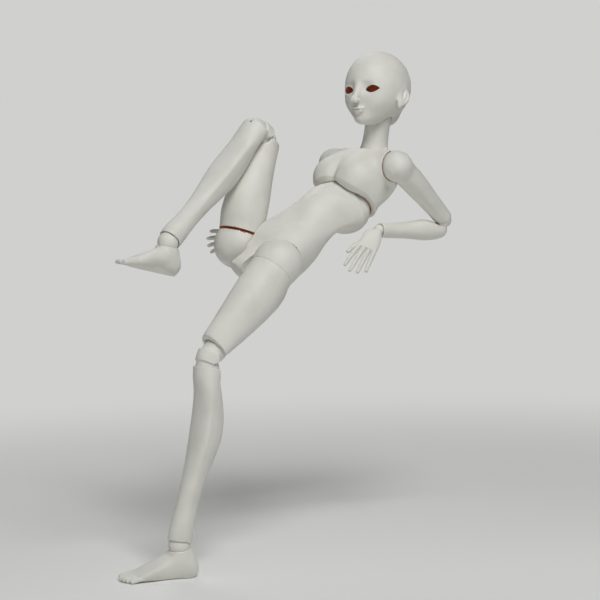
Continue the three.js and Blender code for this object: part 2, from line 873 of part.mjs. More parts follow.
const headFrame = frame(neckFrame, [0, 0, neckLength], headPose);
const { shell, cap } = headParts();
headFrame.add(piece('head', shell, resin));
headFrame.add(piece('head_cap', cap, resin));
headFrame.add(piece('head_magnet', magnet(-1), steel));
headFrame.add(piece('cap_magnet', magnet(1), steel));
headFrame.add(piece('neck_hook', neckHook().translate([0, 0, floorHeight + seam * 2]), steel));

buildArm(chestFrame, 'left', 1, limbPoses.left);
buildArm(chestFrame, 'right', -1, limbPoses.right);
level(buildLeg(torso, 'left', 1, limbPoses.left));
buildLeg(torso, 'right', -1, limbPoses.right);

// The origin is on the floor, under the middle of the whole doll.
doll.updateMatrixWorld(true);
const box = new THREE.Box3().setFromObject(doll, true);
const middle = box.getCenter(new THREE.Vector3());
doll.position.set(-middle.x, -middle.y, -box.min.z);

export default doll;
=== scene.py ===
# The looks of a strung ball jointed doll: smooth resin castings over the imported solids.
# Lengths are millimetres until a mesh is made. Every casting is drawn in the frame of its own
# joint: Z towards the torso, X to the doll's left, Y to its back.
import json
import math
from functools import partial

import bpy
import numpy as np
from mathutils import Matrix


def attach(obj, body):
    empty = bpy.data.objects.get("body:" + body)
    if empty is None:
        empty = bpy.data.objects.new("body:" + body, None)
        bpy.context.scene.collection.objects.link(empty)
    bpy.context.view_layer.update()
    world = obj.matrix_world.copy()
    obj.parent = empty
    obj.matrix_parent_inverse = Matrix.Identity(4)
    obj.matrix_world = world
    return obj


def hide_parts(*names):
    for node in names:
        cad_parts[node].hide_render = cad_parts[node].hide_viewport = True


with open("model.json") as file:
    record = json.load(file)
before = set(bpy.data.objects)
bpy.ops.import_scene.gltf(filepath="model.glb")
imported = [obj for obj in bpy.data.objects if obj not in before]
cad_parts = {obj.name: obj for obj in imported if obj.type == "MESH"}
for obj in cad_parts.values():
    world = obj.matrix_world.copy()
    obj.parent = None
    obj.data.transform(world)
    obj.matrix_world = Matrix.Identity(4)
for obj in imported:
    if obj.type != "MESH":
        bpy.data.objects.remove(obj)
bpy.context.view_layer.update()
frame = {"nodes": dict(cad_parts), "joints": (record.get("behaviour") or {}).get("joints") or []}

import openvdb
from mathutils import Matrix, Vector

mm = 0.001

# Skeleton: distances between joint centres
waist_height = 122
hip_spacing = 78
thigh_length = 124
knee_length = 22
shin_length = 186
ankle_height = 35
neck_height = 78
neck_set_back = 12
neck_length = 38
shoulder_spacing = 105
shoulder_height = 59
shoulder_set_back = 6
upper_arm_length = 103
elbow_length = 13
forearm_length = 88

# Balls of the joints
hip_ball = 27
knee_ball = 14.5
ankle_ball = 11.5
shoulder_ball = 17.5
elbow_ball = 9.5
wrist_ball = 6.5
neck_ball = 14.6
neck_foot = 16

# Girths: the half widths that the outlines are shares of
torso_width = 45
chest_width = 44
thigh_width = 27
shin_width = 18
upper_arm_width = 14.5
forearm_width = 12
neck_width = 14.8
foot_width = 14
foot_length = 80
hand_width = 13.5
hand_length = 72
finger_width = 2.8
head_width = 36
head_depth = 44
head_height = 86

# Walls, clearances and bores
wall = 4.5
seam = 0.35
hairline = 0.2
clearance = 0.65
room = 0.9
bore = 2.1
wide_bore = 5.5
beyond = 60

# How soft the edges and fillets of the castings are, from the sharpest to the broadest
crisp = 0.3
tight = 0.5
close = 0.6
edge = 0.8
bone_fillet = 0.9
joint_fillet = 1.5
ledge_fillet = 2.4
small_fillet = 3
limb_fillet = 5
soft_fillet = 6
broad_fillet = 8

# How finely the castings are drawn: voxel sizes, the band of voxels along a surface, steps along an
# outline, rounds that find the lean of a row, and the least slope
coarse_grain = 0.9
fine_grain = 0.55
band = 3.0
drawn_steps = 241
lean_rounds = 3
smallest = 1e-9

# The pose, in degrees about X, Y and Z
torso_pose = (-50.4, 53.1, -18.2)
chest_bend = (38.3, -12.3, -0.9)
neck_pose = (24.2, 6.3, 1.4)
head_pose = (1.8, -10.7, 12.7)
raised_thigh = (-134.3, 15, -11.7)
lying_thigh = (20.4, -12.4, -9)
propped_arm = (79.7, 2.5, -13.3)
reaching_arm = (34.9, 27, -2.9)
standing_foot = -73

# Swing is how far a hip's room reaches from the pose, gape how far a shell stands off its ball
limb_poses = {
    "left": {
        "side": 1,
        "hip": lying_thigh,
        "swing": -72,
        "gape": 0,
        "knee": 15.7,
        "foot": (0, 0, 0),
        "shoulder": propped_arm,
        "elbow": 71.4,
        "hand": (32.6, -28.1, -59.2),
        "curl": 10,
    },
    "right": {
        "side": -1,
        "hip": raised_thigh,
        "swing": 40,
        "gape": 1.8,
        "knee": 75.2,
        "foot": (37.4, 3.2, -8),
        "shoulder": reaching_arm,
        "elbow": 52.4,
        "hand": (12, 9.3, -20.4),
        "curl": 15,
    },
}

# Outlines, as shares: along, front, back, side, sway outwards, lean with the depth
lower_torso_shares = [
    (0.000, 0.73, 0.44, 0.73, 0, 0.10),
    (0.080, 0.82, 0.33, 0.75),
    (0.156, 0.84, 0.28, 0.73),
    (0.247, 0.78, 0.40, 0.70),
    (0.325, 0.69, 0.58, 0.72),
    (0.420, 0.59, 0.82, 0.79),
    (0.520, 0.54, 0.95, 0.87),
    (0.610, 0.50, 1.00, 0.94),
    (0.690, 0.42, 0.99, 0.98),
    (0.760, 0.30, 0.94, 0.98),
    (0.840, 0.25, 0.82, 0.92),
    (0.910, 0.22, 0.64, 0.76),
    (0.965, 0.17, 0.40, 0.46),
    (1.000, 0.10, 0.18, 0.20),
]
chest_shares = [
    (0.00, 0.32, 0.34, 0.36),
    (0.04, 0.33, 0.40, 0.46),
    (0.13, 0.38, 0.50, 0.78),
    (0.28, 0.52, 0.66, 1.02),
    (0.50, 0.68, 0.77, 1.03),
    (0.75, 0.76, 0.75, 0.98, 0, 0.16),
    (1.00, 0.77, 0.74, 0.90, 0, 0.34),
]
thigh_shares = [
    (0.00, 0.925, 0.925, 0.925),
    (0.05, 0.93, 0.95, 0.93, 0.02),
    (0.16, 0.95, 1.05, 0.94, 0.06),
    (0.40, 0.94, 0.96, 0.89, 0.10),
    (0.60, 0.91, 0.78, 0.80, 0.13),
    (0.80, 0.84, 0.60, 0.70, 0.10),
    (0.93, 0.80, 0.47, 0.64, 0.06, 0.08),
    (1.00, 0.76, 0.43, 0.62, 0.04, 0.16),
]
shin_shares = [
    (0.00, 0.84, 0.86, 0.90, 0.03),
    (0.07, 0.72, 0.80, 0.92, 0.08),
    (0.14, 0.50, 1.04, 0.93, 0.16),
    (0.27, 0.36, 1.40, 0.95, 0.26),
    (0.38, 0.32, 1.47, 0.94, 0.27),
    (0.53, 0.34, 1.22, 0.80, 0.18),
    (0.66, 0.41, 0.94, 0.69, 0.08),
    (0.83, 0.57, 0.72, 0.64),
    (0.96, 0.74, 0.71, 0.71),
    (1.00, 0.74, 0.70, 0.70),
]
upper_arm_shares = [
    (0.00, 0.84, 1.04, 0.92),
    (0.14, 0.84, 1.12, 0.98),
    (0.38, 0.78, 1.12, 0.94),
    (0.62, 0.68, 0.98, 0.82),
    (0.86, 0.62, 0.86, 0.76),
    (0.94, 0.60, 0.82, 0.76),
    (1.00, 0.42, 0.78, 0.74),
]
forearm_shares = [
    (0.00, 0.50, 0.84, 0.90),
    (0.08, 0.74, 0.94, 1.00),
    (0.24, 1.00, 1.00, 1.02),
    (0.52, 0.80, 0.84, 0.86),
    (0.80, 0.68, 0.76, 0.76),
    (1.00, 0.66, 0.74, 0.74),
]
neck_shares = [
    (0.00, 0.88, 0.88, 0.88),
    (0.16, 0.94, 0.94, 0.94),
    (0.55, 0.97, 0.97, 0.97),
    (0.85, 1.02, 1.02, 1.03),
    (1.00, 1.05, 1.05, 1.06),
]
foot_shares = [
    (0.00, 0.30, 0.70, 0.34),
    (0.04, 0.90, 0.96, 0.62),
    (0.14, 1.44, 1.14, 0.82),
    (0.30, 1.46, 1.14, 0.86),
    (0.48, 1.00, 1.14, 0.92),
    (0.70, 0.62, 1.12, 1.06),
    (0.88, 0.44, 1.08, 1.04),
    (1.00, 0.24, 0.94, 0.84),
]
palm_shares = [
    (0.00, 0.42, 0.42, 0.36),
    (0.12, 0.48, 0.48, 0.42),
    (0.45, 0.80, 0.74, 0.42),
    (0.85, 0.88, 0.84, 0.34),
    (1.00, 0.84, 0.82, 0.26),
]

# Small forms that melt into a casting or are carved from it: where, half sizes, softness and, where
# it leans, its turn. Those beside the middle stand on both sides. A rod has ends and radii instead.
cheek = ((13, -27, 20), (9, 8, 9), 9)
chin = ((0, -33, -0.5), (8, 6, 5.5), 9)
nape = ((0, 19, 6), (15, 9, 13), 8)
eye_hollow = ((12, -46, 34), (8, 7.5, 6), 7)
eyelids = ((14.5, -29.5, 31.4), (9, 9.2, 7.8), 2.5)
eye_well = ((14.5, -29.5, 31.4), (7.9, 8, 6.7), 1)
lid_crease = ((16, -44, 38.4), (7.5, 6, 0.5), 1)
eye_place = (15.8, 0, 31.6)
eye_half_width = 7.5
eye_rise = 4.7
eye_drop = 3.5
eye_turn = (0, -6, 0)
nose_bridge = ((0, -39.5, 35), (0, -50, 20.8))
nose_bridge_radii = (3, 2.6)
nose_tip = ((0, -51, 20), (2.8, 2.8, 2.6), 5)
nose_wing = ((2.6, -47, 19), (2, 3, 2), 3)
nostril = ((1.6, -50, 16.8), (0.9, 1.7, 0.9), 0.6)
upper_lip = ((0, -42, 10.6), (7, 2.9, 1.7), 3.4)
lip_peak = ((1.9, -44.4, 11), (2.5, 1.6, 1.1), 1)
lower_lip = ((0, -42.2, 6.9), (5.2, 2.9, 2), 3.2)
lip_line = ((0, -45.8, 8.9), (6.6, 3, 0.6), 0.8)
under_lip = ((0, -44.4, 3), (5.5, 3.2, 1.9), 4)
philtrum = ((0, -46.6, 14.4), (0.9, 1.8, 2.2), 1.5)
ear_turn = (-24, 0, -24)
ear = ((34.6, -1.6, 24), (3.2, 9, 11), 2.5, ear_turn)
ear_hollow = ((38.4, -0.4, 25.4), (2.6, 5.4, 7.8), 1.2, ear_turn)
ear_fold = ((36.2, 0.8, 24.4), (1.5, 1.8, 5.8), 1, ear_turn)
ear_lobe = ((33, -5.6, 14.6), (2.6, 3.4, 4.2), 2)

bust = ((21, -20, 32), (19, 16, 19), 15)
bust_valley = ((0, -41, 40), (3, 10, 32), 9)
collarbone_ends = ((8, -10, 71), (40, -6, 66))
collarbone_radius = 1.6
shoulder_blade = ((25, 25, 46), (15, 6, 20), 14)
spine_groove = ((0, 40, 40), (3, 8, 40), 9)
trapezius_ends = ((14, 14, 83), (35, 9, 63))
trapezius_radii = (4, 7)
collar_lean = 0.32

belly_line = ((0, -42, 72), (1.6, 7, 44), 6)
navel = ((0, -34.5, 52), (1.5, 4, 2.6), 1.6)
flank_hollow = ((27, -38, 66), (7, 8, 24), 12)
buttock_valley = ((0, 48, 16), (2, 12, 26), 7)
small_of_back = ((0, 28, 84), (3, 10, 30), 9)
groin_hollow_place = (-34, -6, -20)
groin_hollow_half = (32, 24, 22)

kneecap = ((0, -5.6, -11), (11.6, 10.9, 12), 3)
ledge_radii = (15.6, 14.4)
ledge_forward = 1
ledge_drop = 11.2
ledge_half = 6
ledge_back = 3
arch = ((7, -12, -38), (9, 19, 8), 7)
heel = ((0, 10, -24), (10.5, 9, 11), 8)
heel_of_hand = ((0, -6.5, -13), (4, 6, 9), 4)


# Forms: each gives the distance of every point to its surface, negative inside

def from_place(points, place, turn=(0, 0, 0)):
    """The same points as seen from a frame at that place, turned by degrees about X, Y and Z."""
    seen = [points[i] - place[i] for i in range(3)]
    if not any(turn):
        return seen
    inverse = turned(turn).inverted()
    return [sum(inverse[row][i] * seen[i] for i in range(3)) for row in range(3)]


def turned(turn):
    about_x = Matrix.Rotation(math.radians(turn[0]), 4, "X")
    about_y = Matrix.Rotation(math.radians(turn[1]), 4, "Y")
    about_z = Matrix.Rotation(math.radians(turn[2]), 4, "Z")
    return about_x @ about_y @ about_z


def ball(points, radius, place=(0, 0, 0)):
    x, y, z = from_place(points, place)
    return np.sqrt(x * x + y * y + z * z) - radius


def egg(points, place, half, turn=(0, 0, 0)):
    x, y, z = from_place(points, place, turn)
    share = (x / half[0]) ** 2 + (y / half[1]) ** 2 + (z / half[2]) ** 2
    slope = (x / half[0] ** 2) ** 2 + (y / half[1] ** 2) ** 2 + (z / half[2] ** 2) ** 2
    reach = np.sqrt(share)
    return reach * (reach - 1) / np.sqrt(slope + smallest)


def rod(points, start, end, radius, end_radius=None):
    """A round rod with round ends, thinner towards its end where a second radius is given."""
    way = [end[i] - start[i] for i in range(3)]
    x, y, z = from_place(points, start)
    along = (x * way[0] + y * way[1] + z * way[2]) / sum(step * step for step in way)
    along = np.clip(along, 0, 1)
    off = np.sqrt((x - along * way[0]) ** 2 + (y - along * way[1]) ** 2 + (z - along * way[2]) ** 2)
    if end_radius is None:
        return off - radius
    return off - (radius + (end_radius - radius) * along)


def drawn_line(rows, column):
    """One column of a share table as a smooth line along the limb."""
    along = np.array([row[0] for row in rows])
    value = np.array([row[column] if len(row) > column else 0.0 for row in rows])
    slope = np.gradient(value, along)
    fine = np.linspace(along[0], along[-1], drawn_steps)
    part = np.clip(np.searchsorted(along, fine, side="right") - 1, 0, len(along) - 2)
    width = along[part + 1] - along[part]
    t = (fine - along[part]) / width
    start = (1 + 2 * t) * (1 - t) ** 2 * value[part] + t * (1 - t) ** 2 * width * slope[part]
    end = t * t * (3 - 2 * t) * value[part + 1] + t * t * (t - 1) * width * slope[part + 1]
    return fine, start + end


def limb(points, rows, top, length, width, side=1):
    """A limb with oval rows; its front and its back have a depth each."""
    x, y, z = points
    along = (top - z) / length
    leans = drawn_line(rows, 5)
    for _ in range(lean_rounds):
        along = (top - z - np.interp(along, *leans) * y) / length
    front = np.interp(along, *drawn_line(rows, 1)) * width
    back = np.interp(along, *drawn_line(rows, 2)) * width
    half = np.interp(along, *drawn_line(rows, 3)) * width
    sway = np.interp(along, *drawn_line(rows, 4)) * width * side
    depth = np.where(y < 0, front, back)
    across = x - sway
    reach = np.sqrt((across / half) ** 2 + (y / depth) ** 2)
    slope = np.sqrt((across / half ** 2) ** 2 + (y / depth ** 2) ** 2 + smallest)
    ends = np.maximum(-along, along - rows[-1][0]) * length
    return np.maximum(reach * (reach - 1) / slope, ends)


def melt(first, second, soft):
    """Both forms joined, with a soft fillet between them."""
    share = np.clip(0.5 + 0.5 * (second - first) / soft, 0, 1)
    return second * (1 - share) + first * share - soft * share * (1 - share)


def carve(form, tool, soft=crisp):
    """The form without the tool, with a soft edge where they meet."""
    return -melt(-form, tool, soft)


def add(form, points, mark, sides=(1, -1)):
    """A small form melted in, on both sides unless it stands in the middle."""
    for side in sides if mark[0][0] else (1,):
        form = melt(form, small_form(points, mark, side), mark[2])
    return form


def dent(form, points, mark, sides=(1, -1)):
    """A small form taken away, on both sides unless it stands in the middle."""
    for side in sides if mark[0][0] else (1,):
        form = carve(form, small_form(points, mark, side), mark[2])
    return form


def small_form(points, mark, side):
    place, half = mark[:2]
    turn = mark[3] if len(mark) > 3 else (0, 0, 0)
    return egg(points, (side * place[0], place[1], place[2]), half, turn if side > 0 else mirrored(turn))


def mirrored(turn):
    return (turn[0], -turn[1], -turn[2])


def hip_place(side):
    return (side * hip_spacing / 2, 0, 0)


def shoulder_place(side):
    return (side * shoulder_spacing / 2, shoulder_set_back, shoulder_height)


def own_pose(side):
    return limb_poses["left" if side > 0 else "right"]


# Head and its cap

# As shares of the head's width, depth and height
cranium_shares = (1, 0.95, 0.46)
cranium_place_shares = (0, 0.03, 0.44)
face_shares = (0.76, 0.64, 0.385)
face_place_shares = (0, -0.34, 0.32)
jaw_shares = (0.45, 0.42, 0.16)
jaw_place_shares = (0, -0.46, 0.10)
face_room_shares = (0.80, 0.64, 0.32)
face_room_place_shares = (0, -0.34, 0.38)
cap_tilt = math.radians(4)
cap_start = 16
floor_height = neck_ball + wall


def of_head(shares, less=0):
    """Shares of the head's width, depth and height as lengths."""
    return (head_width * shares[0] - less, head_depth * shares[1] - less, head_height * shares[2] - less)


def past_cap(points):
    """How far a point lies behind the leaning seam of the cap."""
    above = points[2] - of_head(cranium_shares)[2]
    return (points[1] - cap_start) * math.cos(cap_tilt) + above * math.sin(cap_tilt)


def skull(points):
    form = egg(points, of_head(cranium_place_shares), of_head(cranium_shares))
    form = melt(form, egg(points, of_head(face_place_shares), of_head(face_shares)), soft_fillet)
    form = melt(form, egg(points, of_head(jaw_place_shares), of_head(jaw_shares)), broad_fillet)
    return add(form, points, nape)


def eye_hole(points, side):
    """An almond that runs through the wall of the face: a high arc over a flatter one."""
    place = (side * eye_place[0], eye_place[1], eye_place[2])
    x, y, z = from_place(points, place, eye_turn if side > 0 else mirrored(eye_turn))
    over = (eye_half_width ** 2 + eye_rise ** 2) / (2 * eye_rise)
    under = (eye_half_width ** 2 + eye_drop ** 2) / (2 * eye_drop)
    above = np.sqrt(x * x + (z + over - eye_rise) ** 2) - over
    below = np.sqrt(x * x + (z - under + eye_drop) ** 2) - under
    return np.maximum(np.maximum(above, below), y)


def face(form, points):
    for mark in (cheek, chin):
        form = add(form, points, mark)
    form = dent(form, points, eye_hollow)
    form = melt(form, rod(points, *nose_bridge, *nose_bridge_radii), soft_fillet)
    for mark in (nose_tip, nose_wing, eyelids, upper_lip, lip_peak, lower_lip):
        form = add(form, points, mark)
    for mark in (lid_crease, lip_line, under_lip, philtrum, nostril):
        form = dent(form, points, mark)
    return form


def ears(form, points):
    for mark in (ear, ear_lobe):
        form = add(form, points, mark)
    return add(dent(form, points, ear_hollow), points, ear_fold)


def head_hollow(points):
    hollow = egg(points, of_head(cranium_place_shares), of_head(cranium_shares, wall))
    face_room = egg(points, of_head(face_room_place_shares), of_head(face_room_shares, wall))
    hollow = melt(hollow, face_room, small_fillet)
    hollow = add(hollow, points, eye_well)
    return np.maximum(hollow, floor_height - points[2])


def head(points):
    form = face(skull(points), points)
    form = ears(form, points)
    form = carve(form, head_hollow(points))
    for side in (1, -1):
        form = carve(form, eye_hole(points, side), edge)
    form = carve(form, rod(points, (0, 0, 0), (0, 0, -beyond), neck_ball + clearance))
    form = carve(form, rod(points, (0, 0, 0), (0, 0, head_height / 2), wide_bore))
    return np.maximum(form, past_cap(points))


def head_cap(points):
    form = ears(skull(points), points)
    form = carve(form, head_hollow(points))
    return np.maximum(form, seam - past_cap(points))


def neck(points):
    form = limb(points, neck_shares, neck_length, neck_length, neck_width)
    form = melt(form, ball(points, neck_ball, (0, 0, neck_length)), small_fillet)
    form = melt(form, ball(points, neck_foot), small_fillet)
    return carve(form, rod(points, (0, 0, -beyond), (0, 0, beyond * 2), bore))


# Torso

# Its rims and hollows; the sharpness says how soon the painted shade and glow of a socket end
dome_width = torso_width * 0.76
dome_depth = torso_width * 0.63
crotch_depth = 32
socket_sharpness = 1.3
inner_sharpness = 2.4
seam_height = 14
shoulder_rim = 18.5
thigh_gap = room * 1.4
thigh_way_share = 0.95
thigh_room_rows = 5
swing_shares = (0, 0.33, 0.67, 1)
arm_room_rows = 4
collar_foot_share = 0.8
neck_ways = (neck_pose[0], 10, -6)
socket_face = 5
socket_mouth = 7
socket_flare = 3
collar_width = 20
thigh_cut = 12


def belly(points):
    """The lower torso without its joints."""
    form = limb(points, lower_torso_shares, waist_height, waist_height + crotch_depth, torso_width)
    for mark in (belly_line, navel, flank_hollow, buttock_valley, small_of_back):
        form = dent(form, points, mark)
    return form


def thigh_room(points, side, turn):
    """Where the top of a thigh lies at one swing of its hip."""
    top = -thigh_cut + seam
    seen = from_place(points, hip_place(side), turn)
    rows = thigh_shares[:thigh_room_rows]
    return limb(seen, rows, top, thigh_length - thigh_cut, thigh_width + thigh_gap, side)


def lower_torso(points):
    form = belly(points)
    dome = egg(points, (0, 0, waist_height), (dome_width, dome_depth, dome_depth))
    form = melt(form, dome, broad_fillet)
    for side in (1, -1):
        hip = hip_place(side)
        form = carve(form, ball(points, hip_ball + room, hip), crisp)
        below = (hip[0], 0, -crotch_depth * 2)
        form = carve(form, rod(points, hip, below, thigh_width * thigh_way_share + thigh_gap), edge)
        own = own_pose(side)
        # The room that the thigh sweeps
        for share in swing_shares:
            turn = (own["hip"][0] + own["swing"] * share, *own["hip"][1:])
            form = carve(form, thigh_room(points, side, turn), edge)
    form = carve(form, egg(points, groin_hollow_place, groin_hollow_half), small_fillet)
    return carve(form, rod(points, (0, 0, 0), (0, 0, waist_height + dome_depth * 2), bore))


# Where the hip sockets take the painted shade and glow
def hip_sockets(points):
    left, right = (abs(ball(points, hip_ball + room, hip_place(side))) for side in (1, -1))
    return np.minimum(left, right) * socket_sharpness


def chest_inside(points):
    """The seat on the belly's dome and the two shoulder sockets, where the painted shade and glow goes."""
    seat = abs(seat_room(points))
    for side in (1, -1):
        seat = np.minimum(seat, abs(ball(points, shoulder_ball + clearance, shoulder_place(side))))
    return seat * inner_sharpness


def belly_room(points, turn):
    """Where the belly lies in the chest at one bend of the waist."""
    from_waist = turned(turn).to_3x3()
    x, y, z = points
    bent = [sum(from_waist[row][i] * (x, y, z)[i] for i in range(3)) for row in range(3)]
    bent[2] = bent[2] + waist_height
    grown = torso_width + room
    return limb(bent, lower_torso_shares, waist_height, waist_height + crotch_depth, grown)


def seat_room(points):
    """The seat that the dome of the belly turns in."""
    lean = turned((0, chest_bend[1], chest_bend[2])).inverted()
    turned_points = [sum(lean[i][row] * points[i] for i in range(3)) for row in range(3)]
    return egg(turned_points, (0, 0, 0), (dome_width + room, dome_depth + room, dome_depth + room))


def arm_room(points, side, turn):
    """Where the top of an upper arm lies at one swing of its shoulder."""
    seen = from_place(points, shoulder_place(side), turn)
    return limb(seen, upper_arm_shares[:arm_room_rows], 0, upper_arm_length, upper_arm_width + room)


def chest(points):
    form = limb(points, chest_shares, neck_height, neck_height - seam_height, chest_width)
    collar_top = (0, neck_set_back, neck_height)
    collar_foot = (0, neck_set_back, neck_height * collar_foot_share)
    form = melt(form, rod(points, collar_foot, collar_top, collar_width), soft_fillet)
    for side in (1, -1):
        rim = (side * (shoulder_spacing / 2 - shoulder_rim / 2), shoulder_set_back, shoulder_height)
        form = melt(form, ball(points, shoulder_rim, rim), soft_fillet)
        ends = [(side * end[0], end[1], end[2]) for end in collarbone_ends]
        form = melt(form, rod(points, *ends, collarbone_radius), limb_fillet)
    for mark in (shoulder_blade, bust):
        form = add(form, points, mark)
    for mark in (bust_valley, spine_groove):
        form = dent(form, points, mark)
    form = np.maximum(form, points[2] - neck_height - (points[1] - neck_set_back) * collar_lean)
    for side in (1, -1):
        ends = [(side * end[0], end[1], end[2]) for end in trapezius_ends]
        form = melt(form, rod(points, *ends, *trapezius_radii), broad_fillet)
    for tilt in neck_ways:
        way = (0, -math.sin(math.radians(tilt)) * beyond, math.cos(math.radians(tilt)) * beyond)
        end = tuple(collar_top[i] + way[i] for i in range(3))
        form = carve(form, rod(points, collar_top, end, neck_width + room), edge)
    for side in (1, -1):
        face_of_socket = shoulder_spacing / 2 - socket_face
        form = carve(form, face_of_socket - side * points[0], edge)
        form = carve(form, ball(points, shoulder_ball + clearance, shoulder_place(side)), edge)
        mouth = (side * (shoulder_spacing / 2 + socket_mouth), shoulder_set_back, shoulder_height)
        form = carve(form, ball(points, shoulder_ball + socket_flare, mouth), edge)
        turns = (propped_arm if side > 0 else mirrored(propped_arm),
                 reaching_arm if side < 0 else mirrored(reaching_arm))
        for turn in turns:
            form = carve(form, arm_room(points, side, turn), edge)
    across = ((-shoulder_spacing, shoulder_set_back, shoulder_height),
              (shoulder_spacing, shoulder_set_back, shoulder_height))
    form = carve(form, rod(points, *across, bore))
    for turn in (chest_bend, mirrored(chest_bend)):
        form = carve(form, belly_room(points, turn), tight)
    form = carve(form, seat_room(points), tight)
    form = carve(form, ball(points, neck_foot + room, (0, neck_set_back, neck_height)), edge)
    return carve(form, rod(points, (0, 0, 0), (0, neck_set_back, neck_height), bore))


# Leg

# Slots for the elastic, the rims of the joints and the fullest bend of the knee
slot_width = 4.6
slot_share = 1.5
slot_place_share = 0.9
ball_foot_share = 0.3
thigh_top = 25
thigh_hollow_rows = 6
visible_knee_ball = 13.2
knee_rim_share = 0.1
ankle_rim_share = 0.3
knee_fold = math.radians(76)
knee_link = (knee_length * math.sin(knee_fold), knee_length * math.cos(knee_fold))


def box(points, place, half):
    seen = from_place(points, place)
    return np.maximum(np.maximum(abs(seen[0]) - half[0], abs(seen[1]) - half[1]), abs(seen[2]) - half[2])


def fold_room(points, place, link, up, radius):
    """Where one half of a knee or an elbow lies against the other at its fullest bend."""
    middle = (place[0], place[1] + link[0], place[2] + up * link[1])
    y, z = from_place(points, middle)[1:]
    return np.sqrt(y * y + z * z) - radius - clearance


def thigh_ball(points, side):
    skirt = rod(points, (0, 0, -hip_ball * ball_foot_share), (0, 0, -beyond), thigh_top)
    form = melt(ball(points, hip_ball), skirt, joint_fillet)
    form = np.maximum(form, -thigh_cut - hairline - points[2])
    form = carve(form, rod(points, (0, 0, -hip_ball), (0, 0, 0), bore))
    front = (0, -hip_ball / 2 + bore, hip_ball * slot_place_share)
    return carve(form, box(points, front, (slot_width / 2, hip_ball / 2, hip_ball)), edge)


def thigh_joint(points):
    """The cut faces between the ball and the shell of the raised thigh, which take the painted shade and
    glow.
    """
    half_gape = limb_poses["right"]["gape"] / 2
    return abs(points[2] + thigh_cut + half_gape) - half_gape


def thigh(points, side):
    top = -thigh_cut + hairline - own_pose(side)["gape"]
    length = thigh_length - thigh_cut
    form = limb(points, thigh_shares, top, length, thigh_width, side)
    hollow = limb(points, thigh_shares[:thigh_hollow_rows], top + wall, length, thigh_width - wall, side)
    form = carve(form, hollow)
    end = (0, 0, -thigh_length)
    form = carve(form, ball(points, visible_knee_ball + clearance, end), close)
    form = carve(form, rod(points, (0, 0, top), end, bore))
    return carve(form, fold_room(points, end, knee_link, -1, knee_ball), edge)


def knee(points, side):
    lower = (0, 0, -knee_length)
    form = melt(ball(points, visible_knee_ball), ball(points, visible_knee_ball, lower), small_fillet)
    form = add(form, points, kneecap)
    upper_end = (0, -ledge_forward, ledge_half - ledge_drop)
    lower_end = (0, -ledge_forward, -ledge_half - ledge_drop)
    ledge = rod(points, upper_end, lower_end, *ledge_radii)
    from_middle = abs(points[2] + ledge_drop)
    ledge = np.maximum(np.maximum(ledge, from_middle - ledge_half), points[1] + from_middle - ledge_back)
    form = melt(form, ledge, ledge_fillet)
    slot_reach = knee_ball * slot_share
    cord_way = (bore, slot_reach, knee_length * 2)
    return carve(form, box(points, (0, slot_reach - bore, -knee_length / 2), cord_way), close)


def shin(points, side):
    top = knee_ball * knee_rim_share
    length = shin_length + top - ankle_ball * ankle_rim_share
    form = limb(points, shin_shares, top, length, shin_width, side)
    form = carve(form, ball(points, visible_knee_ball + clearance), close)
    end = (0, 0, -shin_length)
    form = carve(form, ball(points, ankle_ball + clearance, end), edge)
    form = carve(form, rod(points, (0, 0, 0), end, bore))
    return carve(form, fold_room(points, (0, 0, 0), knee_link, 1, knee_ball), edge)


def ankle(points, side):
    form = ball(points, ankle_ball)
    return carve(form, rod(points, (0, 0, -beyond), (0, 0, beyond), bore))


# Toes, instep and the collar round the ankle
toe_shares = (1.35, 1.08, 1.02, 0.96, 0.88)
toe_reach_shares = (1, 1.01, 0.985, 0.95, 0.90)
toe_width = 2.8
toe_gap = 1.1
toe_row_share = 1.6
toe_rise_share = 1.05
toe_length_share = 6
toe_root_share = 0.86
instep_root_share = 0.36
instep_bone_shares = (1.1, 2.6)
ankle_collar = 5.8
collar_wall = 0.4
collar_start_share = 0.6
foot_bore_share = 0.7
foot_back = foot_length * 0.21
foot_front = foot_length * 0.8 - foot_back
instep_low = 7.4
instep_slope = 0.48
instep_lean = 0.14


def toes(form, points, side):
    """Each toe has a rod of its own and a bone that runs back into the instep."""
    for i, share in enumerate(toe_shares):
        across = (0.5 - i / (len(toe_shares) - 1)) * foot_width * toe_row_share
        radius = toe_width * share
        reach = foot_length * toe_reach_shares[i] - foot_back
        tip = (-side * across, -reach + radius, radius * toe_rise_share - ankle_height)
        back = -reach + radius * toe_length_share
        root = (-side * across * toe_root_share, back, radius * 2 - ankle_height)
        instep = (-side * across * instep_root_share, -foot_back / 2, -ankle_height / 2)
        bone = [radius * bone_share for bone_share in instep_bone_shares]
        form = melt(form, rod(points, root, instep, *bone), small_fillet)
        form = melt(form, rod(points, tip, root, radius, radius * toe_rise_share), toe_gap)
    return form


def foot(points, side):
    x, y, z = from_place(points, (0, foot_back, foot_width - ankle_height))
    lying = [x, z * -1, y]
    form = limb(lying, foot_shares, 0, foot_front + foot_back, foot_width)
    above = points[2] + ankle_height - instep_low
    instep = (points[1] + foot_front) * instep_slope - side * points[0] * instep_lean - above
    form = carve(form, instep, limb_fillet)
    form = add(form, points, heel)
    form = dent(form, points, arch, (-side,))
    collar_start = (0, 0, -ankle_height * collar_start_share)
    collar = rod(points, collar_start, (0, 0, beyond), ankle_ball + collar_wall)
    form = melt(form, np.maximum(collar, points[2] + ankle_collar), limb_fillet)
    form = toes(form, points, side)
    form = np.maximum(form, -ankle_height - points[2])
    form = carve(form, ball(points, ankle_ball - hairline), crisp)
    return carve(form, rod(points, (0, 0, 0), (0, 0, -ankle_height * foot_bore_share), bore))


# Arm

elbow_rim_share = 0.1
wrist_rim_share = 0.2
palm_rim_share = 0.4
elbow_fold = math.radians(74)
elbow_link = (-elbow_length * math.sin(elbow_fold), elbow_length * math.cos(elbow_fold))


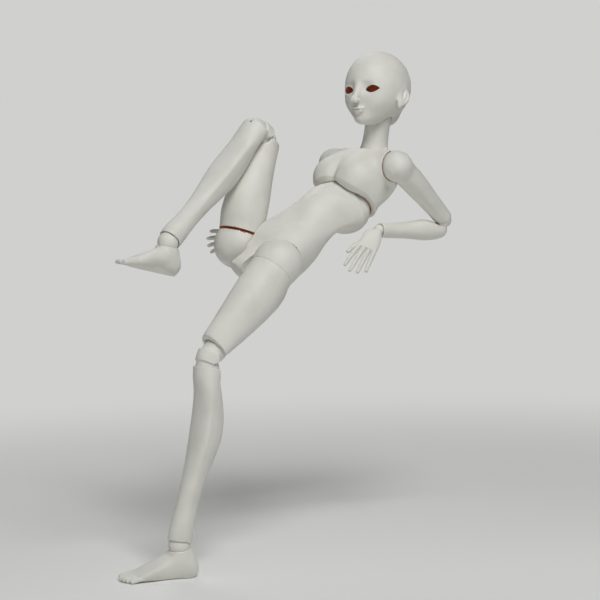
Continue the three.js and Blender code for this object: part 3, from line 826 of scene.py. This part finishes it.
def upper_arm(points, side):
    form = limb(points, upper_arm_shares, 0, upper_arm_length, upper_arm_width)
    form = melt(form, ball(points, shoulder_ball), limb_fillet)
    end = (0, 0, -upper_arm_length)
    form = carve(form, ball(points, elbow_ball + clearance, end), close)
    form = carve(form, rod(points, (0, 0, 0), end, bore))
    form = carve(form, rod(points, (0, 0, 0), (-side * shoulder_ball * 2, 0, 0), bore))
    return carve(form, fold_room(points, end, elbow_link, -1, elbow_ball), close)


def elbow(points, side):
    lower = (0, 0, -elbow_length)
    form = melt(ball(points, elbow_ball), ball(points, elbow_ball, lower), joint_fillet)
    slot_reach = elbow_ball * slot_share
    cord_way = (bore, slot_reach, elbow_length * 2)
    return carve(form, box(points, (0, bore - slot_reach, -elbow_length / 2), cord_way), close)


def forearm(points, side):
    top = -elbow_ball * elbow_rim_share
    length = forearm_length + top - wrist_ball * wrist_rim_share
    form = limb(points, forearm_shares, top, length, forearm_width)
    form = carve(form, ball(points, elbow_ball + clearance), close)
    end = (0, 0, -forearm_length)
    form = carve(form, ball(points, wrist_ball + clearance, end), close)
    form = carve(form, rod(points, (0, 0, 0), end, bore))
    return carve(form, fold_room(points, (0, 0, 0), elbow_link, 1, elbow_ball), close)


def wrist(points, side):
    form = ball(points, wrist_ball)
    return carve(form, rod(points, (0, 0, -beyond), (0, 0, beyond), bore))


palm_length = hand_length * 0.47
finger_shares = (0.45, 0.51, 0.48, 0.40)
bone_shares = (0.46, 0.30, 0.24)
first_curl_share = 0.6
finger_taper = 0.88
finger_girth = 1.05
finger_spread = 12
knuckle_row_share = 1.32
knuckle_height_share = 0.9
thumb_share = 0.42
thumb_girth = 1.2
thumb_spread = -22
thumb_height_share = 0.35


def finger(form, points, root, length, curl, spread, thickness, side):
    """Three bones, each a little thinner and more bent than the one before."""
    way = Matrix.Rotation(spread, 3, "X") @ Vector((0, 0, -1))
    start = Vector(root)
    radius = thickness
    for i, share in enumerate(bone_shares):
        way = Matrix.Rotation(side * curl * (1 if i else first_curl_share), 3, "Y") @ way
        end = start + way * length * share
        thinner = radius * finger_taper
        form = melt(form, rod(points, start, end, radius, thinner), bone_fillet)
        start = end
        radius = thinner
    return form


def hand(points, side, curl):
    top = -wrist_ball * palm_rim_share
    form = limb(points, palm_shares, top, palm_length, hand_width)
    form = add(form, points, heel_of_hand)
    for i, share in enumerate(finger_shares):
        spot = i / (len(finger_shares) - 1) - 0.5
        root = (0, spot * hand_width * knuckle_row_share, top - palm_length * knuckle_height_share)
        shape = (hand_length * share, curl, math.radians(spot * finger_spread), finger_width * finger_girth)
        form = finger(form, points, root, *shape, side)
    thumb_root = (-side * finger_width, -hand_width / 2, top - palm_length * thumb_height_share)
    thumb = (hand_length * thumb_share, curl, math.radians(thumb_spread), finger_width * thumb_girth)
    form = finger(form, points, thumb_root, *thumb, side)
    form = carve(form, ball(points, wrist_ball + clearance), close)
    return carve(form, rod(points, (0, 0, 0), (0, 0, -palm_length / 2), bore))


# Materials

def new_material(name):
    material = bpy.data.materials.new(name)
    material.use_nodes = True
    nodes = material.node_tree.nodes
    return material, nodes, material.node_tree.links, nodes["Principled BSDF"]


def noise(nodes, links, scale, detail):
    place = nodes.new("ShaderNodeTexCoord")
    texture = nodes.new("ShaderNodeTexNoise")
    texture.inputs["Scale"].default_value = scale
    texture.inputs["Detail"].default_value = detail
    links.new(place.outputs["Object"], texture.inputs["Vector"])
    return texture.outputs["Fac"]


def ramp(nodes, links, source, stops):
    band = nodes.new("ShaderNodeValToRGB")
    band.color_ramp.elements[0].position = stops[0][0]
    band.color_ramp.elements[0].color = (*stops[0][1], 1)
    band.color_ramp.elements[1].position = stops[-1][0]
    band.color_ramp.elements[1].color = (*stops[-1][1], 1)
    for position, colour in stops[1:-1]:
        band.color_ramp.elements.new(position).color = (*colour, 1)
    links.new(source, band.inputs["Fac"])
    return band.outputs["Color"]


def bump(nodes, links, source, strength, distance, below=None):
    node = nodes.new("ShaderNodeBump")
    node.inputs["Strength"].default_value = strength
    node.inputs["Distance"].default_value = distance
    links.new(source, node.inputs["Height"])
    if below:
        links.new(below, node.inputs["Normal"])
    return node.outputs["Normal"]


def cast_resin():
    """Matte ivory resin: faint clouds in the casting, a sanded grain and worn, duller patches."""
    material, nodes, links, shader = new_material("cast_resin")
    clouds = noise(nodes, links, scale=28, detail=4)
    links.new(
        ramp(nodes, links, clouds, [(0.3, resin_shade), (0.5, resin_tone), (0.72, resin_light)]),
        shader.inputs["Base Color"],
    )
    patches = noise(nodes, links, scale=60, detail=3)
    dull = nodes.new("ShaderNodeMapRange")
    dull.inputs["To Min"].default_value = 0.46
    dull.inputs["To Max"].default_value = 0.62
    links.new(patches, dull.inputs["Value"])
    links.new(dull.outputs["Result"], shader.inputs["Roughness"])
    waves = noise(nodes, links, scale=220, detail=2)
    swell = bump(nodes, links, waves, strength=0.12, distance=0.0006)
    sanding = noise(nodes, links, scale=2600, detail=2)
    grain = bump(nodes, links, sanding, strength=0.15, distance=0.0001, below=swell)
    links.new(grain, shader.inputs["Normal"])
    shader.inputs["Subsurface Weight"].default_value = 0.12
    shader.inputs["Subsurface Radius"].default_value = (1.0, 0.7, 0.5)
    shader.inputs["Subsurface Scale"].default_value = 0.003
    shader.inputs["Specular IOR Level"].default_value = 0.4
    return material


def painted_inner_shade_and_glow():
    """The inside of a thin shell: painted shade in a dark red-brown, with a painted glow (emission) for
    light coming through the wall.
    """
    material, nodes, links, shader = new_material("painted_inner_shade_and_glow")
    clouds = noise(nodes, links, scale=90, detail=4)
    # Painted shade: the inside gets a dark red-brown base colour
    links.new(
        ramp(nodes, links, clouds, [(0.3, painted_inner_shade_deep), (0.7, painted_inner_shade_warm)]),
        shader.inputs["Base Color"],
    )
    # Painted glow: a warm red emission, in random clouds, stands in for light shining through the resin
    # wall
    thickness = noise(nodes, links, scale=60, detail=2)
    links.new(
        ramp(nodes, links, thickness, [(0.35, painted_glow_dim), (0.65, painted_glow_bright)]),
        shader.inputs["Emission Color"],
    )
    shader.inputs["Emission Strength"].default_value = 1
    sanding = noise(nodes, links, scale=900, detail=3)
    grain = bump(nodes, links, sanding, strength=0.3, distance=0.0002)
    links.new(grain, shader.inputs["Normal"])
    shader.inputs["Roughness"].default_value = 0.7
    return material


def woven_elastic():
    material, nodes, links, shader = new_material("woven_elastic")
    place = nodes.new("ShaderNodeTexCoord")
    weave = nodes.new("ShaderNodeTexWave")
    weave.bands_direction = "DIAGONAL"
    weave.inputs["Scale"].default_value = 900
    weave.inputs["Distortion"].default_value = 2
    links.new(place.outputs["Object"], weave.inputs["Vector"])
    links.new(
        ramp(nodes, links, weave.outputs["Fac"], [(0.2, elastic_shade), (0.8, elastic_light)]),
        shader.inputs["Base Color"],
    )
    threads = bump(nodes, links, weave.outputs["Fac"], strength=0.6, distance=0.0003)
    links.new(threads, shader.inputs["Normal"])
    shader.inputs["Roughness"].default_value = 0.9
    return material


def brushed_steel():
    material, nodes, links, shader = new_material("brushed_steel")
    scratches = noise(nodes, links, scale=1500, detail=5)
    links.new(
        ramp(nodes, links, scratches, [(0.3, steel_shade), (0.7, steel_light)]),
        shader.inputs["Base Color"],
    )
    brushing = bump(nodes, links, scratches, strength=0.2, distance=0.0001)
    links.new(brushing, shader.inputs["Normal"])
    shader.inputs["Metallic"].default_value = 1
    shader.inputs["Roughness"].default_value = 0.35
    return material


resin_shade = (0.70, 0.695, 0.64)
resin_tone = (0.76, 0.755, 0.70)
resin_light = (0.80, 0.795, 0.745)
# Painted shade (dark red-brown base) and painted glow (emission) for the insides of the shells
painted_inner_shade_deep = (0.10, 0.030, 0.012)
painted_inner_shade_warm = (0.24, 0.075, 0.030)
painted_glow_dim = (0.040, 0.009, 0.004)
painted_glow_bright = (0.100, 0.022, 0.009)
elastic_shade = (0.42, 0.40, 0.35)
elastic_light = (0.78, 0.76, 0.70)
steel_shade = (0.45, 0.45, 0.46)
steel_light = (0.66, 0.66, 0.67)

resin = cast_resin()
painted_shade_and_glow = painted_inner_shade_and_glow()
elastic = woven_elastic()
steel = brushed_steel()


# Casting a form into a mesh

def casting(name, form, low, high, grain, place, nodes, hollow=None):
    """Meshes a form inside its box, in the frame of its joint, and lets it stand for its nodes."""
    axes = [np.arange(low[i] - grain * 2, high[i] + grain * 3, grain, dtype=np.float32) for i in range(3)]
    points = [axes[0][:, None, None], axes[1][None, :, None], axes[2][None, None, :]]
    size = tuple(len(axis) for axis in axes)
    field = np.broadcast_to(form(points), size) / grain
    grid = openvdb.FloatGrid(band)
    grid.copyFromArray(np.clip(field, -band, band).astype(np.float32))
    corners, quads = grid.convertToQuads(isovalue=0.0)
    start = np.array([axis[0] for axis in axes])
    corners = corners * grain + start
    mesh = bpy.data.meshes.new(name)
    facing = np.array(place.to_3x3())
    mesh.from_pydata((corners @ facing.T * mm).tolist(), [], outward(corners, quads).tolist())
    mesh.materials.append(resin)
    mesh.shade_smooth()
    # Faces near a hollow or socket take the material with painted shade and painted glow
    if hollow:
        mesh.materials.append(painted_shade_and_glow)
        middles = corners[quads].mean(axis=1)
        painted_shade_faces = hollow([middles[:, 0], middles[:, 1], middles[:, 2]]) < grain
        mesh.polygons.foreach_set("material_index", painted_shade_faces.astype(np.int32))
    piece = bpy.data.objects.new(name, mesh)
    bpy.context.collection.objects.link(piece)
    piece.location = place.translation
    even = piece.modifiers.new("even", "SMOOTH")
    even.factor = 0.5
    even.iterations = 3
    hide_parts(*nodes)
    return piece


def outward(corners, quads):
    """The quads, turned so that they face out of the solid they close."""
    a, b, c, d = (corners[quads[:, i]] for i in range(4))
    volume = np.einsum("ij,ij->i", a, np.cross(b, c)) + np.einsum("ij,ij->i", a, np.cross(c, d))
    if volume.sum() < 0:
        return quads[:, ::-1]
    return quads


# The frames of the joints, as the chain of the skeleton places them

def step(parent, place, turn=(0, 0, 0)):
    return parent @ Matrix.Translation(Vector(place) * mm) @ turned(turn)


def chain(start):
    torso = step(start, (0, 0, 0), torso_pose)
    places = {"lower_torso": torso}
    places["chest"] = step(torso, (0, 0, waist_height), chest_bend)
    places["neck"] = step(places["chest"], (0, neck_set_back, neck_height), neck_pose)
    places["head"] = step(places["neck"], (0, 0, neck_length), head_pose)
    for name, own in limb_poses.items():
        side = own["side"]
        hip = step(torso, hip_place(side), own["hip"])
        upper = step(hip, (0, 0, -thigh_length), (own["knee"], 0, 0))
        lower = step(upper, (0, 0, -knee_length), (own["knee"], 0, 0))
        base = step(lower, (0, 0, -shin_length), own["foot"])
        if side > 0:
            # The standing foot is level with the ground, whatever leg is above it
            base = Matrix.Translation(base.translation) @ turned((0, 0, standing_foot))
        places[name + "_thigh"] = hip
        places[name + "_knee"] = upper
        places[name + "_shin"] = lower
        places[name + "_foot"] = base
        shoulder = step(places["chest"], shoulder_place(side), own["shoulder"])
        bend = step(shoulder, (0, 0, -upper_arm_length), (-own["elbow"], 0, 0))
        under = step(bend, (0, 0, -elbow_length), (-own["elbow"], 0, 0))
        end = step(under, (0, 0, -forearm_length), own["hand"])
        places[name + "_upper_arm"] = shoulder
        places[name + "_elbow"] = bend
        places[name + "_forearm"] = under
        places[name + "_hand"] = end
    return places


waist = next(joint for joint in frame["joints"] if joint["name"] == "waist_bend")
unplaced = chain(Matrix.Identity(4))
origin = Vector(waist["pos_m"]) - unplaced["chest"].translation
places = chain(Matrix.Translation(origin))


def cast(name, form, low, high, grain, place, hollow=None):
    piece = casting("cast_" + name, form, low, high, grain, places[place], [name], hollow)
    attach(piece, name)


# How far the box that a casting is drawn in reaches past its sizes, as lengths and as shares
ear_margin = 8
nape_margin = 4
chin_share = 0.15
bust_share = 1.1
collar_margin = 14
wide_share = 1.2
calf_share = 1.5
thigh_margin = 6
elbow_margin = 2
muscle_share = 1.1
sole_share = 1.4
heel_share = 0.3
hand_box_shares = (2, 3, 1.5)
finger_reach_share = 0.6

head_low = (-head_width - ear_margin, -head_depth - ear_margin, -head_height * chin_share)
head_high = (head_width + ear_margin, head_depth + nape_margin, head_height)
cap_low = (head_low[0], 0, head_low[2])
cast("head", head, head_low, head_high, fine_grain, "head", head_hollow)
cast("head_cap", head_cap, cap_low, head_high, coarse_grain, "head", head_hollow)
neck_low = (-neck_foot, -neck_foot, -neck_foot)
cast("neck", neck, neck_low, (neck_foot, neck_foot, neck_length + neck_ball), coarse_grain, "neck")
chest_low = (-shoulder_spacing / 2, -chest_width * bust_share, 0)
chest_high = (shoulder_spacing / 2, chest_width, neck_height + collar_margin)
cast("chest", chest, chest_low, chest_high, coarse_grain, "chest", chest_inside)
torso_low = (-torso_width * wide_share, -torso_width, -crotch_depth)
torso_high = (torso_width * wide_share, torso_width * wide_share, waist_height + dome_depth)
cast("lower_torso", lower_torso, torso_low, torso_high, coarse_grain, "lower_torso", hip_sockets)


def around(width, bottom, top):
    """A square box about the length of a limb, from its lower end to its upper end."""
    return (-width, -width, bottom), (width, width, top)


thigh_ball_box = around(hip_ball, -thigh_cut, hip_ball)
thigh_box = around(thigh_width * wide_share, -thigh_length - thigh_margin, -thigh_cut)
knee_box = around(knee_ball * wide_share, -knee_length - knee_ball, knee_ball)
shin_box = around(shin_width * calf_share, -shin_length, knee_ball)
ankle_box = around(ankle_ball, -ankle_ball, ankle_ball)
foot_low = (-foot_width * sole_share, -foot_length, -ankle_height)
foot_high = (foot_width * sole_share, foot_length * heel_share, ankle_ball)
upper_arm_box = around(shoulder_ball, -upper_arm_length, shoulder_ball)
elbow_box = around(elbow_ball, -elbow_length - elbow_ball, elbow_ball)
forearm_box = around(forearm_width * muscle_share, -forearm_length, elbow_margin)
wrist_box = around(wrist_ball, -wrist_ball, wrist_ball)

# The castings of a limb: name, form, box, voxel size and the place whose frame it is drawn in
limb_castings = [
    ("thigh_ball", thigh_ball, thigh_ball_box, coarse_grain, "thigh"),
    ("thigh", thigh, thigh_box, coarse_grain, "thigh"),
    ("knee", knee, knee_box, fine_grain, "knee"),
    ("shin", shin, shin_box, coarse_grain, "shin"),
    ("ankle", ankle, ankle_box, coarse_grain, "foot"),
    ("foot", foot, (foot_low, foot_high), fine_grain, "foot"),
    ("upper_arm", upper_arm, upper_arm_box, coarse_grain, "upper_arm"),
    ("elbow", elbow, elbow_box, fine_grain, "elbow"),
    ("forearm", forearm, forearm_box, coarse_grain, "forearm"),
    ("wrist", wrist, wrist_box, fine_grain, "hand"),
]
hand_side, hand_front, hand_back = (hand_width * share for share in hand_box_shares)
hand_low = (-hand_side, -hand_front, -palm_length - hand_length * finger_reach_share)
hand_high = (hand_side, hand_back, wrist_ball)

for name, own in limb_poses.items():
    side = own["side"]
    curl = math.radians(own["curl"])
    for part, form, (low, high), grain, place in limb_castings:
        # The cut faces of a gaping thigh take the painted shade and glow
        hollow = thigh_joint if own["gape"] and place == "thigh" else None
        cast(f"{name}_{part}", partial(form, side=side), low, high, grain, f"{name}_{place}", hollow)
    hand_name = f"{name}_hand"
    cast(hand_name, partial(hand, side=side, curl=curl), hand_low, hand_high, fine_grain, hand_name)

for node, obj in frame["nodes"].items():
    if "elastic" in node:
        finish = elastic
    elif "hook" in node or "magnet" in node:
        finish = steel
    else:
        continue
    obj.data.materials.clear()
    obj.data.materials.append(finish)


# Floor, light and camera

backdrop = (0.63, 0.63, 0.62)
floor_size = 40
shadow_reach = 0.4
backdrop_reach = 1.4


def camera_only(nodes):
    path = nodes.new("ShaderNodeLightPath")
    return path.outputs["Is Camera Ray"]


def floor_material():
    """A pale floor that takes the shadow near the doll and runs into the backdrop further off."""
    material, nodes, links, shader = new_material("floor")
    clouds = noise(nodes, links, scale=2, detail=3)
    marbling = ramp(nodes, links, clouds, [(0.3, floor_shade), (0.7, floor_light)])
    links.new(marbling, shader.inputs["Base Color"])
    shader.inputs["Roughness"].default_value = 0.8
    place = nodes.new("ShaderNodeTexCoord")
    away = nodes.new("ShaderNodeVectorMath")
    away.operation = "LENGTH"
    links.new(place.outputs["Object"], away.inputs[0])
    fade = nodes.new("ShaderNodeMapRange")
    fade.interpolation_type = "SMOOTHSTEP"
    fade.inputs["From Min"].default_value = shadow_reach
    fade.inputs["From Max"].default_value = backdrop_reach
    links.new(away.outputs["Value"], fade.inputs["Value"])
    seen = nodes.new("ShaderNodeMath")
    seen.operation = "MULTIPLY"
    links.new(fade.outputs["Result"], seen.inputs[0])
    links.new(camera_only(nodes), seen.inputs[1])
    pale = nodes.new("ShaderNodeEmission")
    pale.inputs["Color"].default_value = (*backdrop, 1)
    pale.inputs["Strength"].default_value = 1
    mixed = nodes.new("ShaderNodeMixShader")
    links.new(seen.outputs["Value"], mixed.inputs["Fac"])
    links.new(shader.outputs["BSDF"], mixed.inputs[1])
    links.new(pale.outputs["Emission"], mixed.inputs[2])
    links.new(mixed.outputs["Shader"], nodes["Material Output"].inputs["Surface"])
    return material


floor_shade = (0.90, 0.90, 0.89)
floor_light = (0.92, 0.92, 0.91)
floor_mesh = bpy.data.meshes.new("floor")
reach = floor_size / 2
floor_mesh.from_pydata([(-reach, -reach, 0), (reach, -reach, 0), (reach, reach, 0), (-reach, reach, 0)],
                       [], [(0, 1, 2, 3)])
floor_mesh.materials.append(floor_material())
floor = bpy.data.objects.new("floor", floor_mesh)
bpy.context.collection.objects.link(floor)


def area_light(name, place, target, size, power):
    data = bpy.data.lights.new(name, "AREA")
    data.shape = "SQUARE"
    data.size = size
    data.energy = power
    lamp = bpy.data.objects.new(name, data)
    lamp.location = place
    lamp.rotation_euler = (Vector(target) - Vector(place)).to_track_quat("-Z", "Y").to_euler()
    bpy.context.collection.objects.link(lamp)


doll_middle = (0, 0, 0.3)
area_light("key", (0.5, -1.5, 2.2), doll_middle, size=1.0, power=38)
area_light("fill", (-1.7, -1.4, 1.0), doll_middle, size=1.6, power=4)
area_light("rim", (-0.4, 1.6, 1.7), doll_middle, size=1.2, power=8)


def studio_world():
    """Soft light from all round; the camera itself sees the plain pale backdrop."""
    world = bpy.data.worlds.new("studio")
    world.use_nodes = True
    nodes = world.node_tree.nodes
    links = world.node_tree.links
    around_all = nodes["Background"]
    around_all.inputs["Color"].default_value = (0.9, 0.9, 0.9, 1)
    around_all.inputs["Strength"].default_value = 0.11
    pale = nodes.new("ShaderNodeBackground")
    pale.inputs["Color"].default_value = (*backdrop, 1)
    pale.inputs["Strength"].default_value = 1
    mixed = nodes.new("ShaderNodeMixShader")
    links.new(camera_only(nodes), mixed.inputs["Fac"])
    links.new(around_all.outputs["Background"], mixed.inputs[1])
    links.new(pale.outputs["Background"], mixed.inputs[2])
    links.new(mixed.outputs["Shader"], nodes["World Output"].inputs["Surface"])
    return world


bpy.context.scene.world = studio_world()

# The camera stands where the photograph was taken from, as measured from the middle of the hips.
camera_from_hips = (46.2, -1911.7, 89.0)
camera_pitch = math.radians(4.219)
camera_roll = 0.0225
lens = 103.76
camera_data = bpy.data.cameras.new("camera")
camera_data.lens = lens
camera_data.sensor_width = 36
camera = bpy.data.objects.new("camera", camera_data)
bpy.context.collection.objects.link(camera)
forward = Vector((0, math.cos(camera_pitch), -math.sin(camera_pitch)))
level_right = Vector((1, 0, 0))
level_up = Vector((0, math.sin(camera_pitch), math.cos(camera_pitch)))
straight = math.sqrt(1 - camera_roll ** 2)
right = level_right * straight - level_up * camera_roll
up = level_up * straight + level_right * camera_roll
camera.matrix_world = Matrix.Translation(origin + Vector(camera_from_hips) * mm) @ Matrix(
    (right, up, -forward)
).transposed().to_4x4()
bpy.context.scene.camera = camera
bpy.context.scene.view_settings.view_transform = "Standard"
